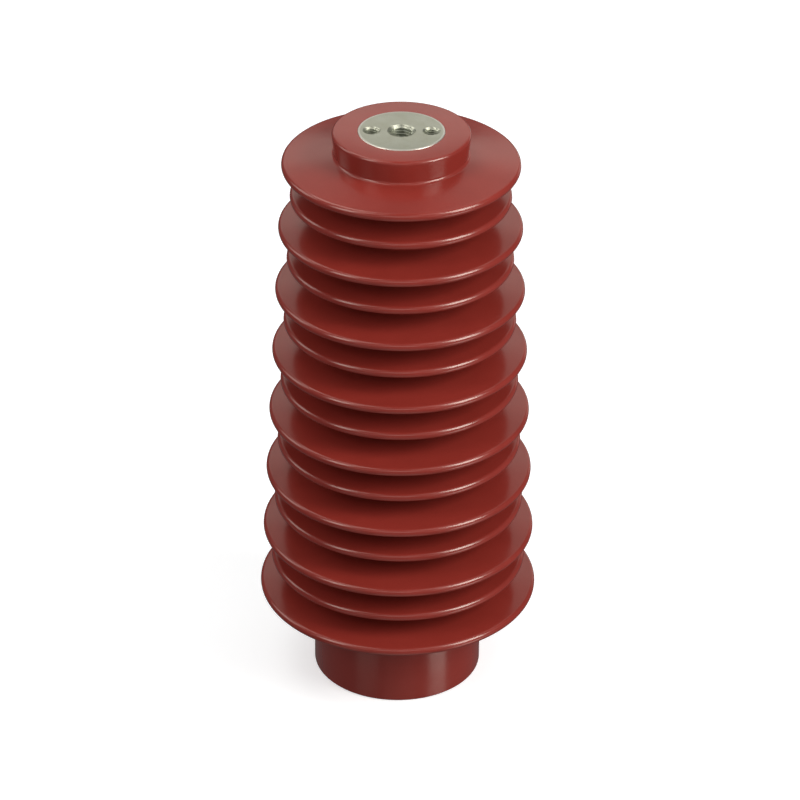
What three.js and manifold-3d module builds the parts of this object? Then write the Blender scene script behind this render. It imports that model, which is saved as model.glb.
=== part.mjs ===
// A cast-resin post insulator: one tapered, shedded resin body poured around six metal inserts.
// Millimetres, +Z up. The origin is the middle of the underside, and the part stands on z = 0.
// +X runs along the line of the top insert's two small tapped holes.
import * as THREE from "three";
import { mergeVertices } from "three/addons/utils/BufferGeometryUtils.js";
import Module from "manifold-3d";

const wasm = await Module();
wasm.setup();

// ---------------------------------------------------------------- driving dimensions
const HEIGHT = 380; // over the metal faces
const FACE_PROUD = 0.3; // the metal faces stand this far out of the resin
const CAST_GAP = 0.2; // between an insert and the resin cast around it

const BOSS_TOP_RADIUS = 42.4; // the boss narrows a little towards the top shed
const BOSS_BASE_RADIUS = 40.6;
const FOOT_RADIUS = 53.5;
const BOSS_EDGE = 2; // rounding of the boss's outer edge
const FOOT_EDGE = 0.6; // and of the foot's

const SHED_COUNT = 15; // large ones at both ends, small ones between
const SHED_SPACING = 21.265; // from one rim to the next, along Z
const LOWEST_RIM_Z = 60.2;
const TOP_SHED_RADIUS = 72.6;
const BOTTOM_SHED_RADIUS = 88.1;
const SMALL_SHED_INSET = 6.1; // a small shed's radius is this much less than the large sheds' taper
const RIM_RADIUS = 2.8; // the full round of a shed's edge
const UPPER_SLOPE = THREE.MathUtils.degToRad(7);
const LOWER_SLOPE = THREE.MathUtils.degToRad(5);
const ROOT_FILLET = 3.5; // between the sheds and the trunk
const BOSS_FILLET = 2; // between the boss and the top shed, and between the foot and the bottom shed

// Tapped holes: radius of the thread's crests, depth of full thread, radius of the entry chamfer.
const M10 = { crest: 4.19, depth: 22, mouth: 5.4 };
const M12 = { crest: 5.05, depth: 24, mouth: 6.5 };
const M16 = { crest: 6.92, depth: 35, mouth: 8.6 };
const DRILL_POINT = THREE.MathUtils.degToRad(59); // half the angle of a drill's tip

const TOP_HOLE_SPACING = 36; // between the two M10 holes
const BASE_BOLT_CIRCLE = 66; // diameter through the four M12 bushings

// An insert from its face inwards: a flange, a groove that locks it endways, and a round-nosed head with
// flutes that lock it against turning.
const TOP_INSERT = {
  radius: 26.4,
  flange: 10,
  grooveRadius: 22,
  groove: 7,
  length: 49,
  nose: 8,
  edge: 0.5,
  flutes: 4,
  fluteRadius: 4,
};
const BASE_INSERT = {
  radius: 17,
  flange: 9,
  grooveRadius: 13.5,
  groove: 6,
  length: 47,
  nose: 6,
  edge: 0.5,
  flutes: 4,
  fluteRadius: 2.5,
};
const BUSHING = {
  radius: 10,
  flange: 7,
  grooveRadius: 8,
  groove: 5,
  length: 33,
  nose: 2.5,
  edge: 0.5,
  flutes: 3,
  fluteRadius: 1.5,
};

// ---------------------------------------------------------------- facets
const BODY_SEGMENTS = 32;
const INSERT_SEGMENTS = 32;
const SMALL_SEGMENTS = 20;
const FLUTE_SEGMENTS = 6;
const RIM_STEPS = 4;
const FILLET_STEPS = 1;
const EDGE_STEPS = 2;
const NOSE_STEPS = 3;

// ---------------------------------------------------------------- profiles, as [radius, z] points
const { sin, cos, tan, PI } = Math;

/** Points on an arc round (r, z), from one angle to another, measured from the outward radius. */
function arc(r, z, radius, from, to, steps) {
  const points = [];
  for (let i = 0; i <= steps; i++) {
    const a = from + ((to - from) * i) / steps;
    points.push([r + radius * cos(a), z + radius * sin(a)]);
  }
  return points;
}

/** The corner of a chain of points rounded by a tangent arc. */
function fillet(before, corner, after, radius, steps) {
  const c = new THREE.Vector2(...corner);
  const u = new THREE.Vector2(...before).sub(c).normalize();
  const v = new THREE.Vector2(...after).sub(c).normalize();
  const half = Math.acos(u.dot(v)) / 2;
  const centre = u.clone().add(v).normalize().multiplyScalar(radius / sin(half)).add(c);
  const start = u.clone().multiplyScalar(radius / tan(half)).add(c).sub(centre).angle();
  const end = v.clone().multiplyScalar(radius / tan(half)).add(c).sub(centre).angle();
  const turn = THREE.MathUtils.euclideanModulo(end - start + PI, 2 * PI) - PI;
  return arc(centre.x, centre.y, radius, start, start + turn, steps);
}

/** Every corner after the first point and before the last rounded by its own radius, where it has one. */
function rounded(corners) {
  return corners.flatMap(([r, z, radius, steps], i) => {
    if (!radius) return [[r, z]];
    const [before, after] = [corners[i - 1], corners[i + 1]];
    return fillet(before.slice(0, 2), [r, z], after.slice(0, 2), radius, steps);
  });
}

// ---------------------------------------------------------------- the sheds
const TOP_RIM_Z = LOWEST_RIM_Z + (SHED_COUNT - 1) * SHED_SPACING;

/** The trunk tapers with the sheds, from the base of the boss to the foot. */
function trunkRadius(z) {
  return THREE.MathUtils.mapLinear(z, LOWEST_RIM_Z, TOP_RIM_Z, FOOT_RADIUS, BOSS_BASE_RADIUS);
}

/** A shed's rim, counted from the bottom: its outer radius and the height of its middle. */
function rim(index) {
  const z = LOWEST_RIM_Z + index * SHED_SPACING;
  const taper = THREE.MathUtils.mapLinear(
    z, LOWEST_RIM_Z, TOP_RIM_Z, BOTTOM_SHED_RADIUS, TOP_SHED_RADIUS,
  );
  return { radius: index % 2 ? taper - SMALL_SHED_INSET : taper, z };
}

/** Where a shed's upper or lower face, run inwards, meets a given radius. */
function faceZ(index, side, radius) {
  const { radius: outer, z } = rim(index);
  const slope = side > 0 ? UPPER_SLOPE : LOWER_SLOPE;
  const centre = outer - RIM_RADIUS;
  return z + side * (RIM_RADIUS / cos(slope) + (centre - radius) * tan(slope));
}

/** Where that face meets the trunk or the end boss. */
function rootCorner(index, side) {
  const isEnd = side > 0 ? index === SHED_COUNT - 1 : index === 0;
  const z = faceZ(index, side, trunkRadius(rim(index).z));
  const radius = isEnd ? (side > 0 ? BOSS_BASE_RADIUS : FOOT_RADIUS) : trunkRadius(z);
  return [radius, faceZ(index, side, radius), isEnd ? BOSS_FILLET : ROOT_FILLET, FILLET_STEPS];
}

/** The round edge of a shed, from its lower face to its upper one. */
function rimArc(index) {
  const { radius, z } = rim(index);
  return arc(
    radius - RIM_RADIUS, z, RIM_RADIUS, LOWER_SLOPE - PI / 2, PI / 2 - UPPER_SLOPE, RIM_STEPS,
  );
}

/** The resin's outline, from the middle of its underside to the middle of its top. */
function bodyProfile() {
  const corners = [
    [0, FACE_PROUD],
    [FOOT_RADIUS, FACE_PROUD, FOOT_EDGE, EDGE_STEPS],
  ];
  for (let i = 0; i < SHED_COUNT; i++) {
    corners.push(rootCorner(i, -1), ...rimArc(i), rootCorner(i, 1));
  }
  const top = HEIGHT - FACE_PROUD;
  corners.push([BOSS_TOP_RADIUS, top, BOSS_EDGE, EDGE_STEPS], [0, top]);
  return rounded(corners);
}

// ---------------------------------------------------------------- solids
/** A closed lathe about Z, its profile running from the axis at the bottom to the axis at the top. */
function lathe(profile, segments) {
  const points = profile.map(([r, z]) => new THREE.Vector2(Math.max(r, 0), z));
  return new THREE.LatheGeometry(points, segments).rotateX(PI / 2);
}

/** A geometry as a manifold-3d solid. */
function toSolid(geometry) {
  const bare = new THREE.BufferGeometry().setAttribute("position", geometry.getAttribute("position"));
  bare.setIndex(geometry.getIndex());
  const merged = mergeVertices(bare, 1e-4);
  return new wasm.Manifold(new wasm.Mesh({
    numProp: 3,
    vertProperties: new Float32Array(merged.getAttribute("position").array),
    triVerts: new Uint32Array(merged.getIndex().array),
  }));
}

/** A manifold-3d solid as a geometry. */
function toGeometry(solid) {
  const mesh = solid.getMesh();
  const geometry = new THREE.BufferGeometry();
  geometry.setAttribute("position", new THREE.BufferAttribute(mesh.vertProperties, mesh.numProp));
  geometry.setIndex(new THREE.BufferAttribute(mesh.triVerts, 1));
  geometry.computeVertexNormals();
  return geometry;
}

/** The outside of an insert, its face at z = 0 and its nose at -length, all round larger by gap. */
function insertShell(insert, gap, segments) {
  const { radius, flange, grooveRadius, groove, length, nose, edge, flutes, fluteRadius } = insert;
  const face = gap ? 1 : 0; // the pocket runs out past the resin's face
  const profile = rounded([
    [0, -length - gap],
    [radius + gap, -length - gap, nose, NOSE_STEPS],
    [radius + gap, -flange - groove + gap],
    [grooveRadius + gap, -flange - groove + gap],
    [grooveRadius + gap, -flange - gap],
    [radius + gap, -flange - gap],
    ...(gap ? [[radius + gap, face]] : [[radius, -edge], [radius - edge, 0]]),
    [0, face],
  ]);
  let shell = toSolid(lathe(profile, segments));
  for (let i = 0; i < flutes; i++) {
    // A flute is cut the length of the head and stops in the groove.
    const bar = new THREE.CylinderGeometry(
      fluteRadius - gap, fluteRadius - gap, length - flange - groove / 2 + 1, FLUTE_SEGMENTS,
    );
    bar.rotateX(PI / 2);
    bar.translate(radius + 0.15 * fluteRadius, 0, -(length + flange + groove / 2 + 1) / 2);
    bar.rotateZ(((i + 0.5) * 2 * PI) / flutes);
    shell = shell.subtract(toSolid(bar));
  }
  return shell;
}

/** The space of a tapped hole at its crest radius, its mouth chamfer at z = 0 and its drill point below. */
function tappedHole({ crest, depth, mouth }, segments) {
  const profile = [
    [0, -depth - crest / tan(DRILL_POINT)],
    [crest, -depth],
    [crest, crest - mouth],
    [mouth + 1, 1],
    [0, 1],
  ];
  return toSolid(lathe(profile, segments));
}

// ---------------------------------------------------------------- materials
const resin = new THREE.MeshStandardMaterial({ color: 0x96382c, roughness: 0.3, metalness: 0 });
const platedSteel = new THREE.MeshStandardMaterial({ color: 0xb9b4a0, roughness: 0.38, metalness: 1 });

function named(name, geometry, material) {
  const mesh = new THREE.Mesh(geometry, material);
  mesh.name = name;
  return mesh;
}

// ---------------------------------------------------------------- the top insert
function topInsert() {
  const offset = TOP_HOLE_SPACING / 2;
  const small = tappedHole(M10, SMALL_SEGMENTS);
  const solid = insertShell(TOP_INSERT, 0, INSERT_SEGMENTS)
    .subtract(tappedHole(M16, SMALL_SEGMENTS))
    .subtract(small.translate([-offset, 0, 0]))
    .subtract(small.translate([offset, 0, 0]));
  const mesh = named("top_insert", toGeometry(solid), platedSteel);
  mesh.position.z = HEIGHT;
  return mesh;
}

// ---------------------------------------------------------------- the inserts in the foot, faces down
function baseCentreInsert() {
  const solid = insertShell(BASE_INSERT, 0, SMALL_SEGMENTS).subtract(tappedHole(M16, SMALL_SEGMENTS));
  const mesh = named("base_centre_insert", toGeometry(solid), platedSteel);
  mesh.rotation.x = PI;
  return mesh;
}

const BUSHING_ANGLES = { front: -PI / 2, right: 0, back: PI / 2, left: PI };

function baseBushings() {
  const solid = insertShell(BUSHING, 0, SMALL_SEGMENTS).subtract(tappedHole(M12, SMALL_SEGMENTS));
  return Object.entries(BUSHING_ANGLES).map(([side, angle]) => {
    const mesh = named(`base_bushing_${side}`, toGeometry(solid), platedSteel);
    mesh.position.set(cos(angle), sin(angle), 0).multiplyScalar(BASE_BOLT_CIRCLE / 2);
    mesh.rotation.set(PI, 0, -angle);
    return mesh;
  });
}

// ---------------------------------------------------------------- the resin casting
/** The space that an insert's mesh takes in the resin. */
function pocket(insert, segments, mesh) {
  mesh.updateMatrix();
  return insertShell(insert, CAST_GAP, segments).transform(mesh.matrix.toArray());
}

function resinBody(top, centre, bushings) {
  const solid = [
    pocket(TOP_INSERT, INSERT_SEGMENTS, top),
    pocket(BASE_INSERT, SMALL_SEGMENTS, centre),
    ...bushings.map((mesh) => pocket(BUSHING, SMALL_SEGMENTS, mesh)),
  ].reduce((body, hole) => body.subtract(hole), toSolid(lathe(bodyProfile(), BODY_SEGMENTS)));
  return named("resin_body", toGeometry(solid), resin);
}

const top = topInsert();
const centre = baseCentreInsert();
const bushings = baseBushings();

const insulator = new THREE.Group();
insulator.add(resinBody(top, centre, bushings), top, centre, ...bushings);

export default insulator;
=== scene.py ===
"""A cast-resin post insulator: the looks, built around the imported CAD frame. Metres, +Z up."""

from math import acos, ceil, cos, pi, radians, sin, sqrt, tan

import bmesh
import bpy
from mathutils import Matrix, Vector


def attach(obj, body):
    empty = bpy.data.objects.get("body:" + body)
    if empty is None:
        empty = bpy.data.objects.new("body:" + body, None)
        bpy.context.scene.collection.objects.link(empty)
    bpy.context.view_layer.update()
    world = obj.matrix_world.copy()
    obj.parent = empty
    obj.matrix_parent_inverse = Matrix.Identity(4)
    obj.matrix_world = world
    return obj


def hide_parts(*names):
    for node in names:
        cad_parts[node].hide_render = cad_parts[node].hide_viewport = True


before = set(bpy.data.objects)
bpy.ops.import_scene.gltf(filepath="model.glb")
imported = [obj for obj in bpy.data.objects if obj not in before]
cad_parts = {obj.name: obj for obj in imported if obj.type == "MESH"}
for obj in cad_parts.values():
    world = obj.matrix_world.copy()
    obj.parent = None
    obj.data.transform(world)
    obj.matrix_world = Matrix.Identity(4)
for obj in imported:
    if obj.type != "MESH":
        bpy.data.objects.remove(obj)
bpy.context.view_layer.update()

# ------------------------------------------------------------------ dimensions, in metres, as in the CAD
HEIGHT = 0.380
FACE_PROUD = 0.0003
CAST_GAP = 0.00003

BOSS_TOP_RADIUS = 0.0424
BOSS_BASE_RADIUS = 0.0406
FOOT_RADIUS = 0.0535
BOSS_EDGE = 0.002
FOOT_EDGE = 0.0006

SHED_COUNT = 15
SHED_SPACING = 0.021265
LOWEST_RIM_Z = 0.0602
TOP_RIM_Z = LOWEST_RIM_Z + (SHED_COUNT - 1) * SHED_SPACING
TOP_SHED_RADIUS = 0.0726
BOTTOM_SHED_RADIUS = 0.0881
SMALL_SHED_INSET = 0.0061
RIM_RADIUS = 0.0028
UPPER_SLOPE = radians(7)
LOWER_SLOPE = radians(5)
ROOT_FILLET = 0.0035
BOSS_FILLET = 0.002

BODY_SEGMENTS = 200
TOP_INSERT_SEGMENTS = 192
BASE_INSERT_SEGMENTS = 144
BUSHING_SEGMENTS = 96
HOLE_SEGMENTS = 72
BUSHING_HOLE_SEGMENTS = 64
RIM_STEPS = 12
FILLET_STEPS = 6
EDGE_STEPS = 5
NOSE_STEPS = 8
SHARP_ANGLE = radians(32)  # edges bent more than this are shaded sharp
ON_AXIS = 1e-7  # a radius below this is on the axis

# Threads: radius over the crests, radius at the roots, pitch, depth of full thread, radius of the mouth.
M10 = {"crest": 0.00419, "root": 0.005, "pitch": 0.0015, "depth": 0.022, "mouth": 0.0054}
M12 = {"crest": 0.00505, "root": 0.006, "pitch": 0.00175, "depth": 0.024, "mouth": 0.0065}
M16 = {"crest": 0.00692, "root": 0.008, "pitch": 0.002, "depth": 0.035, "mouth": 0.0086}
DRILL_POINT = radians(59)
DRILL_TIP_RADIUS = 0.00001
RUN_OUT = 1.5  # the thread's last pitches, over which it gets shallower

TOP_HOLE_SPACING = 0.036
BASE_BOLT_CIRCLE = 0.066

TOP_INSERT = {"radius": 0.0264, "flange": 0.010, "groove_radius": 0.022, "groove": 0.007,
              "length": 0.049, "nose": 0.008, "edge": 0.0005, "flutes": 4, "flute_radius": 0.004}
BASE_INSERT = {"radius": 0.017, "flange": 0.009, "groove_radius": 0.0135, "groove": 0.006,
               "length": 0.047, "nose": 0.006, "edge": 0.0005, "flutes": 4, "flute_radius": 0.0025}
BUSHING = {"radius": 0.010, "flange": 0.007, "groove_radius": 0.008, "groove": 0.005,
           "length": 0.033, "nose": 0.0025, "edge": 0.0005, "flutes": 3, "flute_radius": 0.0015}


# ------------------------------------------------------------------ profiles, as (radius, z) points
def arc(r, z, radius, start, end, steps):
    """Points on an arc round (r, z), its angles measured from the outward radius."""
    angles = [start + (end - start) * i / steps for i in range(steps + 1)]
    return [(r + radius * cos(a), z + radius * sin(a)) for a in angles]


def fillet(before, corner, after, radius, steps):
    """The corner of a chain of points, rounded by a tangent arc."""
    c = Vector(corner)
    u = (Vector(before) - c).normalized()
    v = (Vector(after) - c).normalized()
    half = acos(max(-1.0, min(1.0, u.dot(v)))) / 2
    centre = c + (u + v).normalized() * (radius / sin(half))
    first = c + u * (radius / tan(half)) - centre
    last = c + v * (radius / tan(half)) - centre
    turn = first.angle_signed(last)
    start = Vector((1, 0)).angle_signed(first)
    return arc(centre.x, centre.y, radius, -start, -start - turn, steps)


def rounded(corners):
    """The chain with each corner that has a radius and a step count rounded by them."""
    points = []
    for i, corner in enumerate(corners):
        if len(corner) == 2:
            points.append(tuple(corner))
            continue
        r, z, radius, steps = corner
        points += fillet(corners[i - 1][:2], (r, z), corners[i + 1][:2], radius, steps)
    return points


def trunk_radius(z):
    share = (z - LOWEST_RIM_Z) / (TOP_RIM_Z - LOWEST_RIM_Z)
    return FOOT_RADIUS + (BOSS_BASE_RADIUS - FOOT_RADIUS) * share


def rim(index):
    """A shed's outer radius and the height of its middle, the sheds counted from the bottom."""
    share = index / (SHED_COUNT - 1)
    radius = BOTTOM_SHED_RADIUS + (TOP_SHED_RADIUS - BOTTOM_SHED_RADIUS) * share
    return radius - (SMALL_SHED_INSET if index % 2 else 0), LOWEST_RIM_Z + index * SHED_SPACING


def face_z(index, side, radius):
    """The height of a shed's upper or lower face at a radius."""
    outer, z = rim(index)
    slope = UPPER_SLOPE if side > 0 else LOWER_SLOPE
    return z + side * (RIM_RADIUS / cos(slope) + (outer - RIM_RADIUS - radius) * tan(slope))


def root_corner(index, side):
    """Where that face meets the trunk or an end, with the fillet there."""
    is_end = index == (SHED_COUNT - 1 if side > 0 else 0)
    if is_end:
        radius = BOSS_BASE_RADIUS if side > 0 else FOOT_RADIUS
        return (radius, face_z(index, side, radius), BOSS_FILLET, FILLET_STEPS)
    radius = trunk_radius(face_z(index, side, trunk_radius(rim(index)[1])))
    return (radius, face_z(index, side, radius), ROOT_FILLET, FILLET_STEPS)


def body_profile():
    corners = [(0, FACE_PROUD), (FOOT_RADIUS, FACE_PROUD, FOOT_EDGE, EDGE_STEPS)]
    for i in range(SHED_COUNT):
        radius, z = rim(i)
        corners.append(root_corner(i, -1))
        bottom, top = LOWER_SLOPE - pi / 2, pi / 2 - UPPER_SLOPE
        corners += arc(radius - RIM_RADIUS, z, RIM_RADIUS, bottom, top, RIM_STEPS)
        corners.append(root_corner(i, 1))
    corners += [(BOSS_TOP_RADIUS, HEIGHT - FACE_PROUD, BOSS_EDGE, FILLET_STEPS), (0, HEIGHT - FACE_PROUD)]
    return rounded(corners)


# ------------------------------------------------------------------ meshes
def ring_mesh(bm, rings, closed_bottom=True, closed_top=True):
    """Quads between rings of points, given from the bottom up, each with the same count. A closed end gets
    one point at its middle."""
    rows = [[bm.verts.new(p) for p in ring] for ring in rings]
    for low, high in zip(rows, rows[1:]):
        for j in range(len(low)):
            k = (j + 1) % len(low)
            bm.faces.new((low[j], low[k], high[k], high[j]))
    ends = (
        (rows[0], rings[0], closed_bottom, False),
        (rows[-1], rings[-1], closed_top, True),
    )
    for row, ring, closed, up in ends:
        if closed:
            middle = bm.verts.new(sum((Vector(p) for p in ring), Vector()) / len(ring))
            for j in range(len(row)):
                k = (j + 1) % len(row)
                bm.faces.new((row[j], row[k], middle) if up else (row[k], row[j], middle))


def circle(radius, z, segments, centre=(0, 0)):
    turns = [2 * pi * j / segments for j in range(segments)]
    return [(centre[0] + radius * cos(a), centre[1] + radius * sin(a), z) for a in turns]


def object_from(bm, name):
    """A finished object, its faces turned outwards and smooth but for its sharp edges."""
    bmesh.ops.remove_doubles(bm, verts=bm.verts, dist=1e-7)
    bmesh.ops.dissolve_degenerate(bm, dist=1e-8, edges=bm.edges)
    bmesh.ops.recalc_face_normals(bm, faces=bm.faces)
    mesh = bpy.data.meshes.new(name)
    bm.to_mesh(mesh)
    bm.free()
    mesh.shade_smooth()
    mesh.set_sharp_from_angle(angle=SHARP_ANGLE)
    obj = bpy.data.objects.new(name, mesh)
    bpy.context.scene.collection.objects.link(obj)
    return obj


def tapped_hole(bm, thread, segments, centre=(0, 0)):
    """The wall of a blind tapped hole, its mouth in the plane z = 0. Its rows follow a right-hand helix,
    and each point takes the larger of the thread's radius and the mouth chamfer's. Returns the mouth's
    circle."""
    crest, root, pitch, depth, mouth = (thread[k] for k in ("crest", "root", "pitch", "depth", "mouth"))
    # One pitch of the thread, as (share of the pitch, share of its depth): crest, flank, root, flank.
    section = [
        (0, 0), (0.12, 0), (0.22, 0.25), (0.42, 0.85), (0.5, 1),
        (0.58, 1), (0.66, 0.85), (0.86, 0.25), (0.96, 0),
    ]
    turns = ceil(depth / pitch) + 1
    rows = []
    for turn in range(turns + 1):
        for share, height in section:
            row = []
            for j in range(segments + 1):
                z = max(-depth, min(0.0, -(turn - 1 + share - j / segments) * pitch))
                cut = crest + (root - crest) * height * min(1.0, (z + depth) / (RUN_OUT * pitch))
                r = max(cut, mouth + z)
                a = 2 * pi * (j % segments) / segments
                row.append(bm.verts.new((centre[0] + r * cos(a), centre[1] + r * sin(a), z)))
            rows.append(row)
    for high, low in zip(rows, rows[1:]):
        for j in range(segments):
            corners = (high[j], high[j + 1], low[j + 1], low[j])
            if (high[j].co - low[j].co).length > 1e-8 or (high[j + 1].co - low[j + 1].co).length > 1e-8:
                bm.faces.new(corners)
    floor_ring = circle(crest, -depth, segments, centre)
    tip_ring = circle(DRILL_TIP_RADIUS, -depth - crest / tan(DRILL_POINT), segments, centre)
    ring_mesh(bm, [tip_ring, floor_ring], closed_top=False)
    return circle(mouth, 0.0, segments, centre)


def flat_face(bm, loops):
    """A flat face between an outer circle and the circles inside it."""
    edges = []
    for loop in loops:
        verts = [bm.verts.new(p) for p in loop]
        edges += [bm.edges.new((a, b)) for a, b in zip(verts, verts[1:] + verts[:1])]
    bmesh.ops.triangle_fill(bm, use_beauty=True, use_dissolve=False, edges=edges)


def shell_rings(insert, gap, segments):
    """The outside of an insert, or with a gap the inside of its pocket: rings from its nose up to its face
    at z = 0. Flutes along its head keep it from turning."""
    radius, length, edge = insert["radius"] + gap, insert["length"] + gap, insert["edge"]
    groove_top = -insert["flange"] - gap
    groove_bottom = -insert["flange"] - insert["groove"] + gap
    groove_radius = insert["groove_radius"] + gap
    corners = [
        (0, -length),
        (radius, -length, insert["nose"], NOSE_STEPS),
        (radius, groove_bottom),
        (groove_radius, groove_bottom),
        (groove_radius, groove_top),
        (radius, groove_top),
    ]
    corners += [(radius, -FACE_PROUD)] if gap else [(radius, 0.0, edge, EDGE_STEPS), (0, 0.0)]
    bar = insert["flute_radius"] - gap
    bar_centre = insert["radius"] + 0.15 * insert["flute_radius"]
    step = 2 * pi / insert["flutes"]
    rings = []
    for r, z in rounded(corners):
        if r < ON_AXIS:
            continue
        ring = []
        for j in range(segments):
            a = 2 * pi * j / segments
            off = (a % step) - step / 2
            reach = bar * bar - (bar_centre * sin(off)) ** 2
            fluted = bar_centre * cos(off) - sqrt(reach) if reach > 0 and z <= groove_bottom + 1e-7 else r
            q = min(r, fluted)
            ring.append((q * cos(a), q * sin(a), z))
        rings.append(ring)
    return rings


def place(rings, move):
    """Rings moved by a Matrix."""
    return [[tuple(move @ Vector(p)) for p in ring] for ring in rings]


def insert_object(name, insert, holes, segments, hole_segments):
    """An insert in its own frame: its face in z = 0, its axis along Z."""
    bm = bmesh.new()
    rings = shell_rings(insert, 0.0, segments)
    ring_mesh(bm, rings, closed_top=False)
    loops = [rings[-1]]
    for thread, centre in holes:
        loops.append(tapped_hole(bm, thread, hole_segments, centre))
    flat_face(bm, loops)
    return object_from(bm, name)


# ------------------------------------------------------------------ the pieces
AT_TOP = Matrix.Translation((0, 0, HEIGHT))
FACE_DOWN = Matrix.Rotation(pi, 4, "X")
BUSHINGS = {"front": -pi / 2, "right": 0.0, "back": pi / 2, "left": pi}


def bushing_place(angle):
    """Where the bushing at that angle goes, as a Matrix."""
    radius = BASE_BOLT_CIRCLE / 2
    to_circle = Matrix.Translation((radius * cos(angle), radius * sin(angle), 0))
    return to_circle @ Matrix.Rotation(angle, 4, "Z") @ FACE_DOWN


def resin_object():
    bm = bmesh.new()
    profile = [p for p in body_profile() if p[0] > ON_AXIS]
    outside = [circle(r, z, BODY_SEGMENTS) for r, z in profile]
    top_pocket = place(shell_rings(TOP_INSERT, CAST_GAP, BODY_SEGMENTS), AT_TOP)
    ring_mesh(bm, outside + top_pocket[::-1], closed_bottom=False)
    base_pocket = place(shell_rings(BASE_INSERT, CAST_GAP, BODY_SEGMENTS), FACE_DOWN)
    ring_mesh(bm, base_pocket, closed_top=False)
    loops = [outside[0], base_pocket[-1]]
    for angle in BUSHINGS.values():
        rings = place(shell_rings(BUSHING, CAST_GAP, BUSHING_SEGMENTS), bushing_place(angle))
        ring_mesh(bm, rings, closed_top=False)
        loops.append(rings[-1])
    flat_face(bm, loops)
    return object_from(bm, "cast_resin_body")


resin = resin_object()
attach(resin, "root")
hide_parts("resin_body")

half = TOP_HOLE_SPACING / 2
top_holes = [(M16, (0, 0)), (M10, (-half, 0)), (M10, (half, 0))]
top = insert_object("turned_top_insert", TOP_INSERT, top_holes, TOP_INSERT_SEGMENTS, HOLE_SEGMENTS)
top.matrix_world = AT_TOP
base_hole = [(M16, (0, 0))]
base = insert_object("turned_base_insert", BASE_INSERT, base_hole, BASE_INSERT_SEGMENTS, HOLE_SEGMENTS)
base.matrix_world = FACE_DOWN
inserts = {"top_insert": top, "base_centre_insert": base}
for side, angle in BUSHINGS.items():
    name = f"turned_bushing_{side}"
    bushing = insert_object(name, BUSHING, [(M12, (0, 0))], BUSHING_SEGMENTS, BUSHING_HOLE_SEGMENTS)
    bushing.matrix_world = bushing_place(angle)
    inserts[f"base_bushing_{side}"] = bushing
for node, piece in inserts.items():
    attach(piece, "root")
    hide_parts(node)


# ------------------------------------------------------------------ materials
class Nodes:
    """A material's node tree, with short calls for what the two materials use."""

    def __init__(self, name):
        self.material = bpy.data.materials.new(name)
        self.material.use_nodes = True
        self.tree = self.material.node_tree
        self.shader = self.tree.nodes["Principled BSDF"]
        self.place = self.add("ShaderNodeTexCoord").outputs["Object"]

    def add(self, kind, inputs=None, **settings):
        node = self.tree.nodes.new(kind)
        for key, value in settings.items():
            setattr(node, key, value)
        for key, value in (inputs or {}).items():
            self.put(node.inputs[key], value)
        return node

    def put(self, socket, value):
        if isinstance(value, bpy.types.NodeSocket):
            self.tree.links.new(value, socket)
        else:
            socket.default_value = value

    def noise(self, scale, detail=2.0, rough=0.5, vector=None):
        inputs = {"Vector": vector or self.place, "Scale": scale, "Detail": detail, "Roughness": rough}
        return self.add("ShaderNodeTexNoise", inputs).outputs["Fac"]

    def spread(self, value, low, high, to_low=0.0, to_high=1.0):
        inputs = {"Value": value, "From Min": low, "From Max": high, "To Min": to_low, "To Max": to_high}
        return self.add("ShaderNodeMapRange", inputs).outputs["Result"]

    def math(self, operation, a, b=0.0):
        return self.add("ShaderNodeMath", {0: a, 1: b}, operation=operation).outputs[0]

    def mix(self, amount, a, b, blend="MIX"):
        node = self.add("ShaderNodeMix", {"Factor": amount}, data_type="RGBA", blend_type=blend)
        colours = [socket for socket in node.inputs if socket.type == "RGBA"]
        self.put(colours[0], a)
        self.put(colours[1], b)
        return next(socket for socket in node.outputs if socket.type == "RGBA")

    def bump(self, height, strength, distance, normal=None):
        inputs = {"Height": height, "Strength": strength, "Distance": distance}
        if normal is not None:
            inputs["Normal"] = normal
        return self.add("ShaderNodeBump", inputs).outputs["Normal"]


def linear(r, g, b):
    """An 8-bit sRGB colour as linear RGBA."""
    shares = [channel / 255 for channel in (r, g, b)]
    return tuple(c / 12.92 if c <= 0.04045 else ((c + 0.055) / 1.055) ** 2.4 for c in shares) + (1.0,)


def resin_material():
    """Cast, pigmented epoxy: brick red with fine filler mottling and a soft, slightly wavy gloss."""
    n = Nodes("cast_resin")
    clouds = n.spread(n.noise(28, 3), 0.3, 0.7)
    grain = n.spread(n.noise(1400, 3, 0.6), 0.3, 0.7)
    colour = n.mix(clouds, linear(128, 44, 38), linear(136, 48, 42))
    colour = n.mix(n.math("MULTIPLY", grain, 0.3), colour, linear(116, 37, 32))
    n.put(n.shader.inputs["Base Color"], colour)
    smears = n.noise(55, 4, 0.6)
    dulling = n.math("ADD", smears, n.math("MULTIPLY", grain, 0.25))
    n.put(n.shader.inputs["Roughness"], n.spread(dulling, 0.3, 0.95, 0.15, 0.26))
    wave = n.bump(n.noise(120, 2), 0.12, 0.0003)
    n.put(n.shader.inputs["Normal"], n.bump(n.noise(2200, 2), 0.05, 0.0001, wave))
    n.shader.inputs["IOR"].default_value = 1.55
    return n.material


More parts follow.
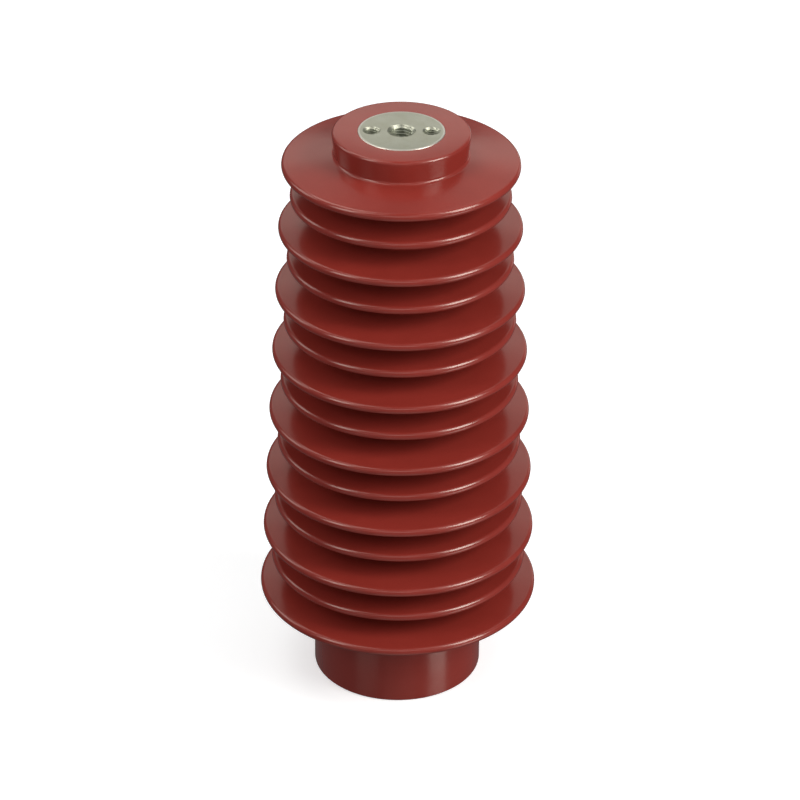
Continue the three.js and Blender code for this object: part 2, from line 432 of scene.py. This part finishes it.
def metal_material():
    """Turned steel under thin plating: the tool's rings round the axis, a warm grey with dull patches."""
    n = Nodes("turned_plated_steel")
    flat = n.add("ShaderNodeVectorMath", {0: n.place, 1: (1, 1, 0)}, operation="MULTIPLY").outputs["Vector"]
    radius = n.add("ShaderNodeVectorMath", {0: flat}, operation="LENGTH").outputs["Value"]
    along = n.add("ShaderNodeCombineXYZ", {"X": radius}).outputs["Vector"]
    rings = n.noise(2600, 3, 0.7, along)
    patches = n.spread(n.noise(90, 4, 0.6), 0.35, 0.68)
    specks = n.spread(n.noise(1300, 2, 0.6), 0.62, 0.74)
    colour = n.mix(patches, linear(190, 197, 186), linear(182, 187, 172))
    colour = n.mix(n.math("MULTIPLY", rings, 0.25), colour, linear(206, 210, 201))
    # Painted highlight: a near-white ring mixed into the colour just inside the top insert's rim, standing
    # in for the bright line of light round its edge.
    painted_rim_highlight = n.spread(radius, TOP_INSERT["radius"] - 0.0015, TOP_INSERT["radius"] - 0.0011)
    colour = n.mix(n.math("MULTIPLY", painted_rim_highlight, 0.7), colour, linear(232, 232, 228))
    colour = n.mix(n.math("MULTIPLY", specks, 0.35), colour, linear(128, 120, 100))
    n.put(n.shader.inputs["Base Color"], colour)
    n.put(n.shader.inputs["Roughness"], n.spread(n.math("ADD", patches, rings), 0.2, 1.8, 0.26, 0.44))
    n.put(n.shader.inputs["Normal"], n.bump(rings, 0.3, 0.00006))
    n.shader.inputs["Metallic"].default_value = 1.0
    return n.material


resin.data.materials.append(resin_material())
metal = metal_material()
for piece in inserts.values():
    piece.data.materials.append(metal)


# ------------------------------------------------------------------ floor, light and camera
def studio():
    """A pale floor that curves up into a wall all round. It shows, and takes the object's shadow, but
    throws no light on the object: the panels do that. It lies just under the post, so that no two faces
    share a plane."""
    bm = bmesh.new()
    reach, bend, top, floor = 5.0, 2.0, 5.0, -0.0001
    profile = arc(reach - bend, bend + floor, bend, -pi / 2, 0, 16) + [(reach, top)]
    ring_mesh(bm, [circle(r, z, 96) for r, z in profile], closed_top=False)
    bowl = object_from(bm, "studio_floor")
    bowl.data.flip_normals()
    n = Nodes("pale_floor")
    n.put(n.shader.inputs["Base Color"], n.mix(n.noise(3, 2), (0.76, 0.81, 0.89, 1), (0.79, 0.84, 0.93, 1)))
    n.shader.inputs["Roughness"].default_value = 0.9
    n.shader.inputs["Specular IOR Level"].default_value = 0.0
    n.shader.inputs["Emission Color"].default_value = (1, 1, 1, 1)
    n.shader.inputs["Emission Strength"].default_value = 0.45
    bowl.data.materials.append(n.material)
    bowl.visible_diffuse = bowl.visible_glossy = bowl.visible_transmission = bowl.visible_shadow = False


WARM = (1.0, 0.93, 0.83)


def panel(name, azimuth, elevation, width, height, radiance, distance=2.2):
    """A flat soft light aimed at the post's middle. Azimuth 0 is the camera's side, and 90 is its right."""
    light = bpy.data.lights.new(name, "AREA")
    light.shape = "RECTANGLE"
    light.size, light.size_y = width, height
    light.color = WARM
    light.energy = radiance * width * height * pi
    obj = bpy.data.objects.new(name, light)
    a, e = radians(azimuth), radians(elevation)
    target = Vector((0, 0, HEIGHT / 2))
    obj.location = target + distance * Vector((sin(a) * cos(e), -cos(a) * cos(e), sin(e)))
    obj.rotation_euler = (target - obj.location).to_track_quat("-Z", "Y").to_euler()
    obj.visible_camera = False
    bpy.context.scene.collection.objects.link(obj)


def camera():
    """The photograph's viewpoint: about 30 degrees above the horizontal, from far off with a long lens."""
    place, lens, sensor = (0, -2.0041, 1.3715), 166.95, 36
    pitch, yaw, roll = radians(30.476), radians(0.015), radians(0.504)
    view = Vector((sin(yaw) * cos(pitch), cos(yaw) * cos(pitch), -sin(pitch)))
    right = Vector((cos(yaw), -sin(yaw), 0))
    up = right.cross(view)
    across = right * cos(roll) + up * sin(roll)
    upright = up * cos(roll) - right * sin(roll)
    data = bpy.data.cameras.new("camera")
    data.sensor_width = sensor
    data.lens = lens
    obj = bpy.data.objects.new("camera", data)
    turn = Matrix((across, upright, -view)).transposed().to_4x4()
    obj.matrix_world = Matrix.Translation(place) @ turn
    bpy.context.scene.collection.objects.link(obj)
    bpy.context.scene.camera = obj


studio()

# The panels: azimuth and elevation in degrees, width and height in metres, radiance.
panel("key_right", 62, 33, 0.9, 1.3, 12.5)
panel("high_right", 48, 64, 0.9, 0.8, 1.3)
panel("key_left", -56, 34, 0.7, 1.1, 5.2)
panel("side_left", -108, 30, 0.9, 1.0, 2.8)
panel("high_left", -52, 64, 0.8, 0.8, 2.2)
panel("high_back_left", -135, 62, 1.0, 1.0, 2.8)
panel("high_back_right", 135, 60, 1.4, 0.8, 0.8)
panel("wall_back_near", 180, 42.5, 1.6, 0.5, 0.45, distance=1.3)
panel("wall_back_far", 180, 25, 2.4, 0.5, 0.8)
panel("wall_right", 150, 2, 1.0, 0.8, 0.7)
panel("front", 0, 34, 1.2, 0.8, 1.5)
panel("front_right", 35, 14, 0.8, 1.0, 0.7)
panel("front_left", -30, 14, 0.8, 1.0, 0.5)
panel("low_right", 60, -24, 1.7, 1.2, 0.5)
panel("low_right_core", 60, -33, 0.8, 0.9, 2.2)
panel("low_front", 0, -24, 1.4, 0.8, 0.3)
panel("under_front", 5, -62, 1.2, 0.9, 0.6)
panel("low_left", -42, -34, 1.0, 0.8, 0.5)

world = bpy.data.worlds.new("studio")
world.use_nodes = True
world.node_tree.nodes["Background"].inputs["Color"].default_value = (1, 1, 1, 1)
world.node_tree.nodes["Background"].inputs["Strength"].default_value = 0.11
bpy.context.scene.world = world
bpy.context.scene.view_settings.view_transform = "Standard"
camera()
